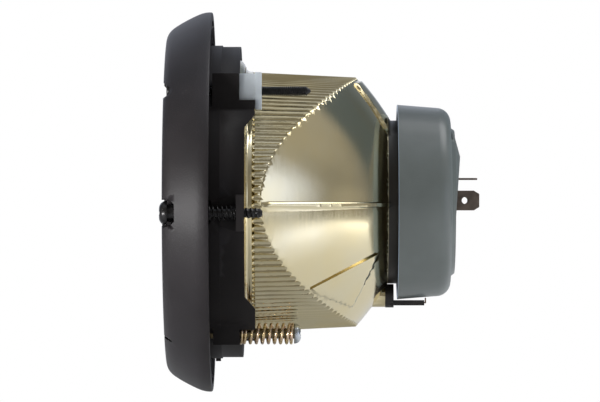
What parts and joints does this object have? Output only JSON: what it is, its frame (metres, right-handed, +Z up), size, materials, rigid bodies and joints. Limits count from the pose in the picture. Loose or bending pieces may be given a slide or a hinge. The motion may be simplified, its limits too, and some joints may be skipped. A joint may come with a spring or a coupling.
{
  "type": "headlight",
  "caption": "Oval motorbike headlight: black bezel, carrier ring that tilts on spring-loaded screws, fluted reflector with a parabolic bowl, bulb, rubber dust cap and sidelight.",
  "frame": {"origin": "on the optical axis, in the plane of the bezel's rear rim, at the centre of the fixing holes", "axes": "X to the rear of the lamp, Y to the rider's right, Z up"},
  "size_m": [0.1251, 0.2135, 0.1515],
  "materials": {
    "bezel_plastic": "satin fine-grained black moulding",
    "carrier_plastic": "smooth black moulding",
    "reflector_metal": "vacuum-metallised moulding with a gold tint",
    "lens_glass": "clear, polished",
    "seal_rubber": "matt black",
    "cap_rubber": "matt grey",
    "bulb_steel": "plated, slightly dull",
    "bulb_glass": "clear with a dark tip",
    "shield_metal": "bare sheet",
    "filament_wire": "bare wire",
    "insulator_plastic": "dark moulding",
    "blade_metal": "tarnished brown-grey",
    "clip_wire": "bright spring wire",
    "holder_plastic": "black moulding",
    "tab_brass": "brown, dull",
    "black_screw": "black oxide, oiled",
    "nylon": "translucent blue-white moulding",
    "black_spring": "black phosphate",
    "zinc": "bright zinc plate",
    "yellow_zinc": "yellow passivated zinc plate"
  },
  "bodies": {
    "bezel": {"front_bezel": "bezel_plastic", "pivot_screw_left": "black_screw", "pivot_screw_right": "black_screw", "pivot_spring_left": "black_spring", "pivot_spring_right": "black_spring", "tension_screw_left": "zinc", "tension_screw_right": "zinc", "tension_spring_left": "yellow_zinc", "tension_spring_right": "yellow_zinc"},
    "lamp": {"carrier_frame": "carrier_plastic", "reflector": "reflector_metal", "lens": "lens_glass", "lens_seal": "seal_rubber", "dust_cap": "cap_rubber", "bulb_base": "bulb_steel", "bulb_glass": "bulb_glass", "bulb_shield": "shield_metal", "bulb_filaments": "filament_wire", "bulb_insulator": "insulator_plastic", "bulb_terminal_top": "blade_metal", "bulb_terminal_left": "blade_metal", "bulb_terminal_right": "blade_metal", "bulb_clip": "clip_wire", "sidelight_holder": "holder_plastic", "sidelight_bulb": "bulb_glass", "sidelight_terminal": "tab_brass", "aim_nut_left": "nylon", "aim_nut_right": "nylon"},
    "aim_screw_left": {"aim_screw_left": "black_screw"},
    "aim_screw_right": {"aim_screw_right": "black_screw"}
  },
  "joints": [
    {"name": "lamp_tilt", "type": "hinge", "parent": "bezel", "child": "lamp", "pos_m": [0.0119, 0, -0.0042], "axis": [0, 1, 0], "range_deg": [-2.5, 2.5], "deforming": ["pivot_spring_left", "tension_spring_left", "pivot_spring_right", "tension_spring_right"]},
    {"name": "aim_spin_left", "type": "hinge", "parent": "bezel", "child": "aim_screw_left", "pos_m": [0, -0.067, 0.0429], "axis": [1, 0, 0], "range_deg": [-1060, 1060]},
    {"name": "aim_spin_right", "type": "hinge", "parent": "bezel", "child": "aim_screw_right", "pos_m": [0, 0.067, 0.0429], "axis": [1, 0, 0], "range_deg": [-1060, 1060]}
  ],
  "couplings": [
    {"joint": "aim_spin_left", "follows": "lamp_tilt", "ratio": -422.77},
    {"joint": "aim_spin_right", "follows": "lamp_tilt", "ratio": -422.77}
  ]
}
